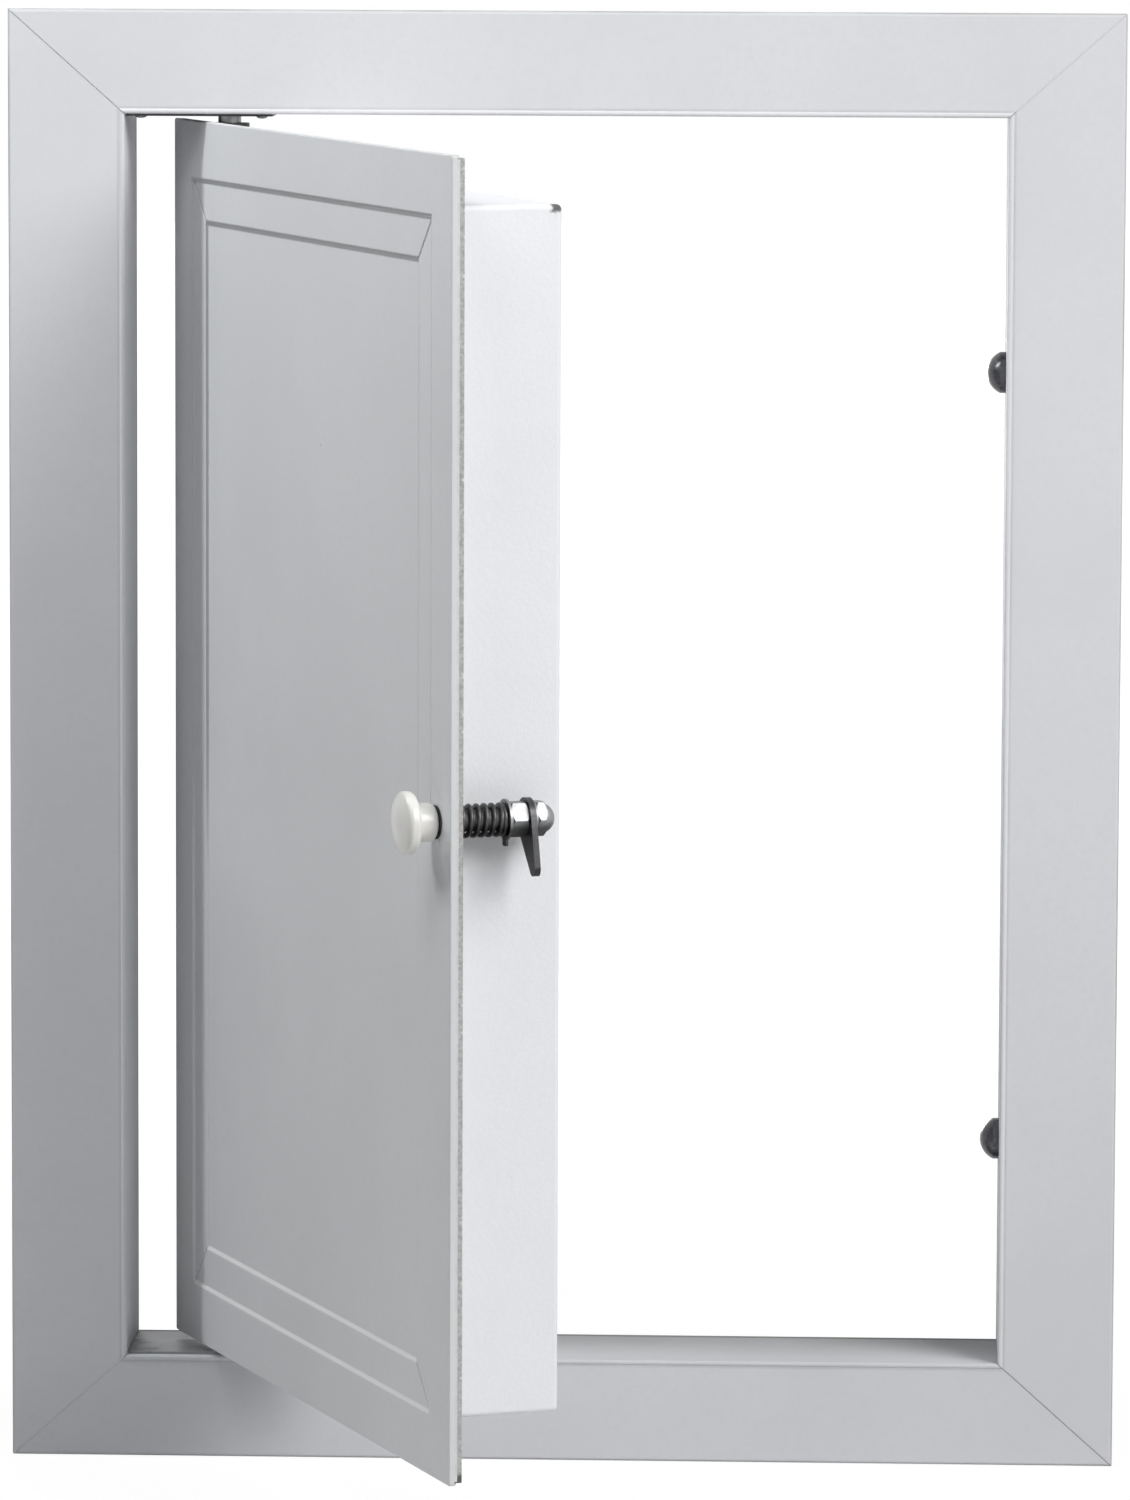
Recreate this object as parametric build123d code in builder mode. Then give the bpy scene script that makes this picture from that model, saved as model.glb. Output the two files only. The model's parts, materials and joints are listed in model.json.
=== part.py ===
"""Loft hatch: a mitred flanged lining with a pivoting insulated leaf and a sprung turn latch.

Millimetres. X runs from the hinge jamb to the latch jamb, Z runs up and Y runs from the
room into the loft. The origin is the middle of the sill flange, on its back face, which
bears on the wall. The leaf is drawn where it stands at rest, part way open.
"""

import os
from math import cos, radians, sin, sqrt

from build123d import *

# Clear opening and the lining around it
opening_width = 530.0
opening_height = 755.0
side_flange = 70.0
end_flange = 62.5
flange_thickness = 3.0
flange_round = 2.0
bead_width = 3.0
bead_height = 0.8
lining_depth = 84.0
lining_wall = 2.0
mitre_gap = 0.3

# Corner cleats behind the flange
cleat_leg = 28.0
cleat_wall = 2.5
cleat_relief = 1.2
cleat_clear = 8.0

# Leaf
swing_open = 68.0
hinge_gap = 8.0
latch_gap = 5.0
end_gap = 5.0
leaf_thickness = 8.0
leaf_corner = 1.5
leaf_edge_round = 0.8
skin_front = 3.2
skin_wall = 1.5
skin_return = 4.8
fold_relief = 2.5
moulding_inset = 35.0
moulding_width = 25.0
moulding_step = 1.1
moulding_slope = 1.8
crease_width = 1.4
crease_depth = 0.7

# Insulation block behind the leaf
block_depth = 72.0
block_latch_inset = 42.0
block_hinge_inset = 34.0
block_end_inset = 30.0
block_round = 3.0

# Pivots near the hinge jamb
pivot_from_jamb = 62.0
pivot_from_front = 18.0
pivot_radius = 4.0
pin_lead = 1.0
running_fit = 0.05
seat_gap = 0.3
plate_length = 88.0
plate_depth = 42.0
plate_thickness = 1.5
plate_setback = 3.0
plate_jamb_gap = 1.0
collar_radius = 7.0
thrust_washer_thickness = 2.4
thrust_washer_radius = 10.0
arm_drop = 1.0
arm_thickness = 4.0
arm_leg_thickness = 3.0
arm_leg_width = 60.0
arm_leg_height = 24.0
arm_nose = 12.0
pin_tail = 2.0

# Latch: a knob, rod and lever on one axis through the leaf
latch_inset = 24.0
lever_at_rest = 28.0
rod_radius = 6.0
knob_radius = 18.0
knob_rim = 6.5
knob_rim_round = 3.0
knob_dome = 5.0
knob_neck_wall = 5.0
knob_neck_round = 4.0
knob_neck_length = 12.5
knob_washer_wall = 3.5
knob_washer_thickness = 1.0
knob_bore_depth = 19.0
bush_wall = 3.0
bush_flange_thickness = 1.5
bush_flange_margin = 2.7
bush_setback = 0.3
spring_length = 30.2
spring_wire = 1.5
spring_room = 0.8
spring_turns = 7.0
spring_washer_margin = 1.7
spring_washer_thickness = 1.5
ear_width = 6.0
ear_reach = 3.5
ear_round = 1.5
nut_wall = 3.5
nut_height = 10.0
lever_thickness = 3.5
lever_hub_wall = 6.0
lever_tip = 4.5
lever_reach = 30.0
lever_washer_wall = 4.5
lever_washer_thickness = 1.5
cap_hex_height = 6.0
cap_shoulder = 1.0
cap_dome_height = 6.5
cap_root = 1.0
cap_wall = 4.0
slot_clearance = 6.0
slot_rise = 1.5
slot_corner = 3.0
pull_travel = 5.0

# Dome-headed studs through the latch jamb
stud_from_top = 155.0
stud_from_bottom = 132.0
stud_depth = 42.0
stud_head_radius = 12.5
stud_head_rim = 3.5
stud_head_height = 11.5
stud_neck_radius = 5.8
stud_radius = 5.0
stud_length = 32.0
thread_lead = 0.8

# Levels and faces that follow from the sizes above
z_bottom = end_flange / 2
z_top = z_bottom + opening_height
z_middle = (z_bottom + z_top) / 2
x_hinge = -opening_width / 2
x_latch = opening_width / 2
y_front = -flange_thickness
y_back = lining_depth - flange_thickness
leaf_width = opening_width - hinge_gap - latch_gap
leaf_height = opening_height - 2 * end_gap
leaf_top = z_top - end_gap
leaf_bottom = z_bottom + end_gap
pivot_from_edge = pivot_from_jamb - hinge_gap

# Length of the crease along each mitre of the moulding
crease_length = (moulding_width - moulding_slope) * sqrt(2)

# Radii round the latch axis, all from the rod's
knob_neck_radius = rod_radius + knob_neck_wall
knob_washer_radius = rod_radius + knob_washer_wall
bush_radius = rod_radius + bush_wall
spring_radius = rod_radius + spring_room + spring_wire
bush_flange_radius = spring_radius + spring_wire + bush_flange_margin
spring_washer_radius = spring_radius + spring_wire + spring_washer_margin
nut_across_flats = 2 * (rod_radius + nut_wall)
lever_hub = rod_radius + lever_hub_wall
lever_washer_radius = rod_radius + lever_washer_wall
cap_dome_radius = nut_across_flats / 2 - cap_shoulder

# Directions of the leaf at rest: along it towards the latch, and through it to the back
along = Vector(cos(radians(swing_open)), -sin(radians(swing_open)), 0)
inward = Vector(sin(radians(swing_open)), cos(radians(swing_open)), 0)
pivot = Vector(x_hinge + pivot_from_jamb, y_front + pivot_from_front, 0)
leaf_corner_point = pivot - along * pivot_from_edge - inward * pivot_from_front

# Depths behind the leaf's front along the latch axis
latch_along = leaf_width - latch_inset
neck_end = -seat_gap - knob_washer_thickness
knob_base = neck_end - knob_neck_length
spring_seat = leaf_thickness + bush_flange_thickness
spring_end = spring_seat + spring_length
spring_washer_front = spring_end + seat_gap
nut_front = spring_washer_front + spring_washer_thickness + seat_gap
lever_front = nut_front + nut_height
lever_washer_front = lever_front + lever_thickness
cap_front = lever_washer_front + lever_washer_thickness
cap_hex_back = cap_front + cap_hex_height
cap_end = cap_hex_back + cap_dome_height
rod_start = neck_end - knob_bore_depth
rod_end = cap_end - cap_wall

os.makedirs("parts", exist_ok=True)


def leaf_plan(height):
    """A level plane through the leaf: x runs along it and y through it, from its hinge edge."""
    origin = leaf_corner_point + Vector(0, 0, height)
    return Plane(origin=origin, x_dir=along, z_dir=(0, 0, 1))


def leaf_face(depth):
    """A plane as far behind the leaf's front as depth says; it faces the room and y is up."""
    origin = leaf_corner_point + inward * depth
    return Plane(origin=origin, x_dir=along, z_dir=-inward)


def latch_face(depth):
    """The same plane with its origin on the latch axis."""
    origin = leaf_corner_point + along * latch_along + inward * depth + Vector(0, 0, z_middle)
    return Plane(origin=origin, x_dir=along, z_dir=-inward)


def latch_turning():
    """A plane through the latch axis: x is the depth behind the leaf's front, y the radius."""
    return Plane(origin=latch_face(0).origin, x_dir=inward, z_dir=along)


def pivot_turning(height, up):
    """A plane through the pivot axis: x is the height from the lining, y the radius."""
    return Plane(
        origin=(pivot.X, pivot.Y, height), x_dir=(0, 0, up), z_dir=(0, up, 0)
    )


def spin(plane, mode=Mode.ADD):
    """Turns the pending profile about the plane's x axis."""
    revolve(axis=Axis(plane.origin, plane.x_dir), mode=mode)


def dome_radius(base, height):
    """Radius of the ball whose cap has this base radius and height."""
    return (base**2 + height**2) / (2 * height)


def save(piece, label):
    piece.part.label = label
    export_step(piece.part, f"parts/{label}.step")


# Frame members


def mitre_plane(side, end, towards_jamb):
    """The mitre at one corner, half a gap to one member's side and facing that member."""
    sign = 1 if towards_jamb else -1
    normal = Vector(side * end_flange, 0, -end * side_flange).normalized() * sign
    corner = Vector(side * opening_width / 2, 0, z_middle + end * opening_height / 2)
    return Plane(origin=corner + normal * mitre_gap / 2, x_dir=(0, 1, 0), z_dir=normal)


def frame_member(outward, reach, width, half_length, corners, is_jamb):
    """A length of the flanged lining, its outer edge rounded and both ends mitred."""
    middle = Vector(0, 0, z_middle) + outward * reach
    section = Plane(origin=middle, x_dir=outward, z_dir=outward.cross(Vector(0, 1, 0)))
    with BuildPart() as member:
        with BuildSketch(section):
            with BuildLine():
                Polyline(
                    (bead_width, y_front),
                    (width, y_front),
                    (width, 0),
                    (lining_wall, 0),
                    (lining_wall, y_back),
                    (0, y_back),
                    (0, y_front),
                )
                ThreePointArc(
                    (0, y_front), (bead_width / 2, y_front - bead_height), (bead_width, y_front)
                )
            make_face()
        extrude(amount=half_length, both=True)
        outer_edge = member.edges().filter_by(Axis(middle, section.z_dir)).group_by(
            Axis(middle, outward)
        )[-1]
        fillet(outer_edge.sort_by(Axis.Y)[0], flange_round)
        for side, end in corners:
            split(bisect_by=mitre_plane(side, end, is_jamb), keep=Keep.TOP)
    return member


def jamb(side):
    return frame_member(
        outward=Vector(side, 0, 0),
        reach=opening_width / 2,
        width=side_flange,
        half_length=opening_height / 2 + end_flange,
        corners=((side, 1), (side, -1)),
        is_jamb=True,
    )


def rail(end):
    return frame_member(
        outward=Vector(0, 0, end),
        reach=opening_height / 2,
        width=end_flange,
        half_length=opening_width / 2 + side_flange,
        corners=((1, end), (-1, end)),
        is_jamb=False,
    )


def strike_slot_size():
    """Depth from the flange front and height of the slot that the lever turns into."""
    near = lever_front - pull_travel - slot_clearance
    far = lever_front + lever_thickness + slot_clearance
    high = lever_tip + slot_clearance + slot_rise
    tip = lever_reach + lever_tip
    low = -sqrt(tip**2 - (latch_inset + latch_gap) ** 2) - lever_tip - slot_clearance
    return near, far, low, high


def latch_jamb():
    """The latch jamb, with holes for its two studs and the slot for the lever."""
    near, far, low, high = strike_slot_size()
    plain = jamb(1)
    with BuildPart() as member:
        add(plain.part)
        with BuildSketch(Plane(origin=(x_latch, 0, 0), x_dir=(0, 1, 0), z_dir=(1, 0, 0))):
            with Locations((y_front + (near + far) / 2, z_middle + (low + high) / 2)):
                RectangleRounded(far - near, high - low, slot_corner)
            with Locations(*[(y_front + stud_depth, z) for z in stud_heights()]):
                Circle(stud_neck_radius + running_fit)
        extrude(amount=lining_wall, mode=Mode.SUBTRACT)
    return member


def corner_cleat(side, end):
    """An angle that holds two lining members together outside their mitre."""
    x_corner = side * (opening_width / 2 + lining_wall)
    z_corner = z_middle + end * (opening_height / 2 + lining_wall)
    corner = (x_corner, cleat_clear, z_corner)
    section = Plane(origin=corner, x_dir=(side, 0, 0), z_dir=(0, -side * end, 0))
    with BuildPart() as cleat:
        with BuildSketch(section):
            with BuildLine():
                Polyline(
                    (0, -cleat_leg),
                    (cleat_wall, -cleat_leg),
                    (cleat_wall, cleat_wall),
                    (-cleat_leg, cleat_wall),
                    (-cleat_leg, 0),
                    (0, 0),
                    close=True,
                )
            make_face()
            Circle(cleat_relief, mode=Mode.SUBTRACT)
        extrude(amount=-side * end * (y_back - 2 * cleat_clear))
    return cleat


def stud_heights():
    return (z_top - stud_from_top, z_bottom + stud_from_bottom)


def jamb_stud(height):
    """A stud: its domed head stands in the opening, its neck fills the lining's hole and its
    shank leaves on the far side."""
    origin = Vector(x_latch, y_front + stud_depth, height)
    section = Plane(origin=origin, x_dir=(1, 0, 0), z_dir=(0, -1, 0))
    with BuildPart() as stud:
        with BuildSketch(section):
            with BuildLine():
                Polyline(
                    (-stud_head_height, 0),
                    (lining_wall + stud_length, 0),
                    (lining_wall + stud_length, stud_radius),
                    (lining_wall, stud_radius),
                    (lining_wall, stud_neck_radius),
                    (0, stud_neck_radius),
                    (0, stud_head_radius),
                    (-stud_head_rim, stud_head_radius),
                )
                RadiusArc(
                    (-stud_head_rim, stud_head_radius),
                    (-stud_head_height, 0),
                    -dome_radius(stud_head_radius, stud_head_height - stud_head_rim),
                )
            make_face()
        spin(section)
        chamfer(stud.edges().group_by(Axis.X)[-1], thread_lead)
    return stud


# Pivots


def pivot_plate(level, up):
    """The strip that carries a pivot pin, flat on the lining."""
    centre_x = x_hinge + plate_jamb_gap + plate_length / 2
    centre_y = y_front + plate_setback + plate_depth / 2
    with BuildPart() as plate:
        with BuildSketch(Plane(origin=(centre_x, centre_y, level), z_dir=(0, 0, up))):
            RectangleRounded(plate_length, plate_depth, flange_round)
        extrude(amount=plate_thickness)
    return plate


def pivot_pin(level, up, collar):
    """A pin with a shoulder that keeps the leaf's arm off the plate."""
    section = pivot_turning(level, up)
    tip = end_gap + arm_drop + arm_thickness + pin_tail
    with BuildPart() as pin:
        with BuildSketch(section):
            with BuildLine():
                Polyline(
                    (plate_thickness, 0),
                    (tip, 0),
                    (tip, pivot_radius - pin_lead),
                    (tip - pin_lead, pivot_radius),
                    (collar, pivot_radius),
                    (collar, collar_radius),
                    (plate_thickness, collar_radius),
                    close=True,
                )
            make_face()
        spin(section)
    return pin


def thrust_washer():
    """A washer on the lower pin's shoulder that the leaf's weight turns on."""
    arm_face = z_bottom + end_gap + arm_drop - seat_gap
    base = Plane(origin=(pivot.X, pivot.Y, arm_face))
    with BuildPart() as washer:
        with BuildSketch(base):
            Circle(thrust_washer_radius)
            Circle(pivot_radius + running_fit, mode=Mode.SUBTRACT)
        extrude(amount=-thrust_washer_thickness)
    return washer


def pivot_arm(edge, up):
    """An angle on the leaf's back whose rounded nose turns on the pin."""
    outer = edge + up * arm_drop
    with BuildPart() as arm:
        with BuildSketch(leaf_plan(outer)):
            with BuildLine():
                Polyline(
                    (pivot_from_edge + arm_nose, pivot_from_front),
                    (pivot_from_edge + arm_nose, leaf_thickness),
                    (pivot_from_edge - arm_nose, leaf_thickness),
                    (pivot_from_edge - arm_nose, pivot_from_front),
                )
                ThreePointArc(
                    (pivot_from_edge - arm_nose, pivot_from_front),
                    (pivot_from_edge, pivot_from_front + arm_nose),
                    (pivot_from_edge + arm_nose, pivot_from_front),
                )
            make_face()
            with Locations((pivot_from_edge, pivot_from_front)):
                Circle(pivot_radius + running_fit, mode=Mode.SUBTRACT)
        extrude(amount=up * arm_thickness)
        with BuildSketch(leaf_face(leaf_thickness)):
            with Locations((pivot_from_edge, outer + up * arm_leg_height / 2)):
                Rectangle(arm_leg_width, arm_leg_height)
        extrude(amount=-arm_leg_thickness)
    return arm


# Leaf


def moulding_corner(side, end):
    """The middle of the mitre at one corner of the moulding's band."""
    inset = moulding_inset + (moulding_slope + moulding_width) / 2
    return (
        leaf_width / 2 + side * (leaf_width / 2 - inset),
        z_middle + end * (leaf_height / 2 - inset),
    )


def leaf_skin():
    """The pressed front: a shallow tray whose panel goes in by two mitred steps."""
    with BuildPart() as skin:
        with BuildSketch(leaf_face(0)):
            with Locations((leaf_width / 2, z_middle)):
                RectangleRounded(leaf_width, leaf_height, leaf_corner)
        extrude(amount=-skin_return)
        fillet(skin.faces().sort_by(Axis(pivot, inward))[0].edges(), leaf_edge_round)
        with BuildSketch(leaf_face(skin_return)):
            with Locations((leaf_width / 2, z_middle)):
                Rectangle(leaf_width - 2 * skin_wall, leaf_height - 2 * skin_wall)
                with GridLocations(leaf_width, leaf_height, 2, 2):
                    Rectangle(2 * fold_relief, 2 * fold_relief)
        extrude(amount=skin_return - skin_front, mode=Mode.SUBTRACT)
        for step, inset in enumerate((moulding_inset, moulding_inset + moulding_width)):
            for depth, edge in ((step, inset), (step + 1, inset + moulding_slope)):
                with BuildSketch(leaf_face(depth * moulding_step)):
                    with Locations((leaf_width / 2, z_middle)):
                        Rectangle(leaf_width - 2 * edge, leaf_height - 2 * edge)
            loft(ruled=True, mode=Mode.SUBTRACT)
        with BuildSketch(leaf_face(moulding_step)):
            for side in (-1, 1):
                for end in (-1, 1):
                    with Locations(moulding_corner(side, end)):
                        Rectangle(crease_length, crease_width, rotation=45 * side * end)
        extrude(amount=-crease_depth, mode=Mode.SUBTRACT)
        with BuildSketch(latch_face(0)):
            Circle(bush_radius + running_fit)
        extrude(amount=-skin_front, mode=Mode.SUBTRACT)
    return skin


def leaf_board():
    """The board that fills the skin and shows past its return."""
    with BuildPart() as board:
        with BuildSketch(leaf_face(skin_front)):
            with Locations((leaf_width / 2, z_middle)):
                Rectangle(leaf_width - 2 * skin_wall, leaf_height - 2 * skin_wall)
            with Locations((latch_along, z_middle)):
                Circle(bush_radius + running_fit, mode=Mode.SUBTRACT)
        extrude(amount=-(leaf_thickness - skin_front))
    return board


def insulation_block():
    """The thick block on the leaf's back, short of all four edges."""
    width = leaf_width - block_latch_inset - block_hinge_inset
    centre = block_hinge_inset + width / 2
    with BuildPart() as block:
        with BuildSketch(leaf_face(leaf_thickness)):
            with Locations((centre, z_middle)):
                Rectangle(width, leaf_height - 2 * block_end_inset)
        extrude(amount=-block_depth)
        front = block.faces().sort_by(Axis(pivot, inward))[0]
        fillet(block.edges() - front.edges(), block_round)
    return block


# Latch


def latch_knob():
    """A domed knob on a round-shouldered neck, bored from behind for the rod."""
    rim_front = knob_base - knob_rim
    section = latch_turning()
    with BuildPart() as knob:
        with BuildSketch(section):
            with BuildLine():
                Polyline(
                    (rod_start, 0),
                    (rod_start, rod_radius + running_fit),
                    (neck_end, rod_radius + running_fit),
                    (neck_end, knob_neck_radius),
                    (knob_base, knob_neck_radius),
                    (knob_base, knob_radius),
                    (rim_front, knob_radius),
                )
                RadiusArc(
                    (rim_front, knob_radius),
                    (rim_front - knob_dome, 0),
                    -dome_radius(knob_radius, knob_dome),
                )
                Line((rim_front - knob_dome, 0), (rod_start, 0))
            make_face()
        spin(section)
        circles = knob.edges().filter_by(GeomType.CIRCLE)
        fillet(circles.filter_by(lambda edge: edge.radius == knob_radius), knob_rim_round)
        neck = circles.filter_by(lambda edge: edge.radius == knob_neck_radius)
        fillet(neck.sort_by(Axis(pivot, inward))[-1], knob_neck_round)
    return knob


def latch_disc(front, thickness, radius):
    """A washer on the latch rod."""
    with BuildPart() as disc:
        with BuildSketch(latch_face(front)):
            Circle(radius)
            Circle(rod_radius + running_fit, mode=Mode.SUBTRACT)
        extrude(amount=-thickness)
    return disc


def spring_washer():
    """The washer behind the nut, with a small ear that hangs below it."""
    with BuildPart() as washer:
        with BuildSketch(latch_face(spring_washer_front)):
            Circle(spring_washer_radius)
            with Locations((0, -spring_washer_radius)):
                RectangleRounded(ear_width, 2 * ear_reach, ear_round)
            Circle(rod_radius + running_fit, mode=Mode.SUBTRACT)
        extrude(amount=-spring_washer_thickness)
    return washer


def latch_bush():
    """The flanged bush that guides the rod through the leaf and seats the spring."""
    section = latch_turning()
    bore = rod_radius + running_fit
    with BuildPart() as bush:
        with BuildSketch(section):
            with BuildLine():
                Polyline(
                    (bush_setback, bore),
                    (spring_seat, bore),
                    (spring_seat, bush_flange_radius),
                    (leaf_thickness, bush_flange_radius),
                    (leaf_thickness, bush_radius),
                    (bush_setback, bush_radius),
                    close=True,
                )
            make_face()
        spin(section)
    return bush


def latch_rod():
    """The plain rod that joins the knob to the lever."""
    with BuildPart() as rod:
        with BuildSketch(latch_face(rod_start)):
            Circle(rod_radius)
        extrude(amount=-(rod_end - rod_start))
        chamfer(rod.edges().filter_by(GeomType.CIRCLE), thread_lead)
    return rod


def latch_spring():
    """An open compression spring between the bush and its washer, both ends ground flat."""
    seat = latch_face(spring_seat)
    with BuildPart() as spring:
        with BuildLine():
            coil = Helix(
                pitch=spring_length / spring_turns,
                height=spring_length,
                radius=spring_radius,
                center=seat.origin,
                direction=inward,
            )
        with BuildSketch(Plane(origin=coil @ 0, z_dir=coil % 0)):
            RegularPolygon(spring_wire, 8)
        sweep(path=coil, is_frenet=True)
        split(bisect_by=seat, keep=Keep.BOTTOM)
        split(bisect_by=latch_face(spring_end), keep=Keep.TOP)
    return spring


def hexagon_blank(front, height):
    """A hexagon prism on the latch axis with its corners turned off at both faces."""
    across_corners = nut_across_flats / sqrt(3)
    bevel = across_corners - nut_across_flats / 2
    section = latch_turning()
    with BuildPart() as blank:
        with BuildSketch(latch_face(front)):
            RegularPolygon(nut_across_flats / 2, 6, major_radius=False)
        extrude(amount=-height)
        with BuildSketch(section):
            with BuildLine():
                Polyline(
                    (front, 0),
                    (front, nut_across_flats / 2),
                    (front + bevel, across_corners),
                    (front + height - bevel, across_corners),
                    (front + height, nut_across_flats / 2),
                    (front + height, 0),
                    close=True,
                )
            make_face()
        spin(section, mode=Mode.INTERSECT)
    return blank


def latch_nut():
    """The hexagon nut that sets the spring's load."""
    blank = hexagon_blank(nut_front, nut_height)
    with BuildPart() as nut:
        add(blank.part)
        with BuildSketch(latch_face(nut_front)):
            Circle(rod_radius + running_fit)
        extrude(amount=-nut_height, mode=Mode.SUBTRACT)
    return nut


def latch_lever():
    """The flat lever, tapering from its hub to a round tip that turns behind the jamb."""
    turned = along * cos(radians(lever_at_rest)) + Vector(0, 0, sin(radians(lever_at_rest)))
    face = Plane(origin=latch_face(lever_front).origin, x_dir=turned, z_dir=-inward)
    with BuildPart() as lever:
        with BuildSketch(face):
            Circle(lever_hub)
            with Locations((0, -lever_reach)):
                Circle(lever_tip)
            make_hull()
            Circle(rod_radius + running_fit, mode=Mode.SUBTRACT)
        extrude(amount=-lever_thickness)
    return lever


def cap_nut():
    """The domed nut that closes the rod's end."""
    section = latch_turning()
    bore = rod_radius + running_fit
    blank = hexagon_blank(cap_front, cap_hex_height)
    with BuildPart() as cap:
        add(blank.part)
        with BuildSketch(section):
            with BuildLine():
                Polyline(
                    (cap_end, 0),
                    (cap_hex_back - cap_root, 0),
                    (cap_hex_back - cap_root, cap_dome_radius),
                    (cap_hex_back, cap_dome_radius),
                )
                RadiusArc(
                    (cap_hex_back, cap_dome_radius),
                    (cap_end, 0),
                    dome_radius(cap_dome_radius, cap_dome_height),
                )
            make_face()
        spin(section)
        with BuildSketch(latch_face(cap_front)):
            Circle(bore)
        extrude(amount=-(rod_end + running_fit - cap_front), mode=Mode.SUBTRACT)
    return cap


save(rail(1), "frame_head")
save(rail(-1), "frame_sill")
save(jamb(-1), "frame_jamb_hinge")
save(latch_jamb(), "frame_jamb_latch")
for side, side_name in ((-1, "hinge"), (1, "latch")):
    for end, end_name in ((1, "top"), (-1, "bottom")):
        save(corner_cleat(side, end), f"corner_cleat_{end_name}_{side_name}")

save(pivot_plate(z_top, -1), "pivot_plate_top")
save(pivot_plate(z_bottom, 1), "pivot_plate_bottom")
upper_collar = end_gap + arm_drop - seat_gap
lower_collar = upper_collar - thrust_washer_thickness
save(pivot_pin(z_top, -1, upper_collar), "pivot_pin_top")
save(pivot_pin(z_bottom, 1, lower_collar), "pivot_pin_bottom")
save(thrust_washer(), "thrust_washer")
for stud_height, stud_name in zip(stud_heights(), ("upper", "lower")):
    save(jamb_stud(stud_height), f"jamb_stud_{stud_name}")

save(leaf_skin(), "leaf_skin")
save(leaf_board(), "leaf_board")
save(insulation_block(), "insulation_block")
save(pivot_arm(leaf_top, -1), "pivot_arm_top")
save(pivot_arm(leaf_bottom, 1), "pivot_arm_bottom")
save(latch_bush(), "latch_bush")
save(latch_spring(), "latch_spring")

save(spring_washer(), "spring_washer")
save(latch_knob(), "latch_knob")
save(latch_disc(neck_end, knob_washer_thickness, knob_washer_radius), "knob_washer")
save(latch_rod(), "latch_rod")
save(latch_nut(), "latch_nut")
save(latch_lever(), "latch_lever")
save(latch_disc(lever_washer_front, lever_washer_thickness, lever_washer_radius), "lever_washer")
save(cap_nut(), "cap_nut")
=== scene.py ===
"""Finishes, small fasteners, spring, threads and studio for the loft hatch."""

import json
from math import atan2, radians

import bpy
from mathutils import Matrix, Vector


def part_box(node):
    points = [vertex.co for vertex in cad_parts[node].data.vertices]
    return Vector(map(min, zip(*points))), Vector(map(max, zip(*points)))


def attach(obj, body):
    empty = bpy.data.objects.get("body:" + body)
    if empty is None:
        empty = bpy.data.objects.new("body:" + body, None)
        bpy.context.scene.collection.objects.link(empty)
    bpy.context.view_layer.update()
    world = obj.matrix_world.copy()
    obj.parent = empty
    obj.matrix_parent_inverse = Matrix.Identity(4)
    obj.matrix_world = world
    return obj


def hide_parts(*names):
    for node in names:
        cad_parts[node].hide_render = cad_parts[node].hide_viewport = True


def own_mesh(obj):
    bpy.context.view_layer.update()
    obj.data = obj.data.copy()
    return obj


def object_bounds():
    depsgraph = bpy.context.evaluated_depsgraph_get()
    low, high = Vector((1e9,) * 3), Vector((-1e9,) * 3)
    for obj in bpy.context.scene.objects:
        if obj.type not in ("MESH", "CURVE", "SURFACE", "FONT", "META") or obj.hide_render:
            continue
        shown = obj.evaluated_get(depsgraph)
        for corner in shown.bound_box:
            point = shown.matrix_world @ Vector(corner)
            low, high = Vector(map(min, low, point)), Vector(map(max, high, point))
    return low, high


bl_info = {
    "name": "Loft Hatch Looks",
    "version": (1, 0, 0),
    "blender": (4, 5, 0),
    "location": "View3D > Sidebar > Loft Hatch",
    "description": "Finishes the loft hatch and sets up its studio",
    "category": "Object",
}

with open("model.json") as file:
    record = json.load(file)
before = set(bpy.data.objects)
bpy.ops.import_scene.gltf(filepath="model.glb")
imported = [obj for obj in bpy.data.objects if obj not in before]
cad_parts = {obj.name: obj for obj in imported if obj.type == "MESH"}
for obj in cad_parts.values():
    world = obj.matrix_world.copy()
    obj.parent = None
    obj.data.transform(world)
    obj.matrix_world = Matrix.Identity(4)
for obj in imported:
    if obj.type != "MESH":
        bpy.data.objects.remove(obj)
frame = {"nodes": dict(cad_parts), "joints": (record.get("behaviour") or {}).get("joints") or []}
cad_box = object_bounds()

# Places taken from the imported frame, in metres

joints = {joint["name"]: joint for joint in frame["joints"]}
latch_point = Vector(joints["latch_turn"]["pos_m"])
latch_out = Vector(joints["latch_turn"]["axis"])
latch_in = -latch_out
pivot_point = Vector(joints["leaf_swing"]["pos_m"])
leaf_turn = atan2(latch_in.y, latch_in.x)
middle_height = latch_point.z
lining_back = cad_box[1].y

# Sizes of the object that its patterns follow, in metres

half_opening = Vector((0.265, 0, 0.3775))
flange_width = 0.07  # at the sides
flange_height = 0.0625  # at the head and the sill
bead_width = 0.0034
leaf_width = 0.517
leaf_thickness = 0.008
latch_inset = 0.024  # from the leaf's free edge to the latch's axis
moulding_inset = 0.0355  # from the leaf's edge to the middle of the outer step
moulding_gap = 0.025  # from the outer step to the inner one
block_back = 0.0775  # behind the leaf's front, at the block's back edge
block_inset = 0.018  # from the latch's axis to the block's free side
arm_thickness = 0.003
pivot_setback = 0.018  # from the leaf's front to the pivots' axis

# Colours of wear and dirt, and of painted shade and highlight

# Grime; also painted shade on the lining and along the leaf's hinge edge.
grime_and_painted_shade = (0.42, 0.41, 0.39)
# Painted highlight on the moulding's lower steps.
ledge_highlight_colour = (0.97, 0.97, 0.975)
# Painted shade on the latch pieces' undersides.
underside_shade_colour = (0.012, 0.012, 0.012)
bare_chip = (0.78, 0.78, 0.77)
dark_speck = (0.12, 0.115, 0.11)
dark_bruise = (0.06, 0.06, 0.06)


# Sizes and colours that a user may change


def number_property(name, description, value):
    return bpy.props.FloatProperty(name=name, description=description, default=value)


def length_property(name, description, value):
    return bpy.props.FloatProperty(
        name=name, description=description, default=value, unit="LENGTH"
    )


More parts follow.
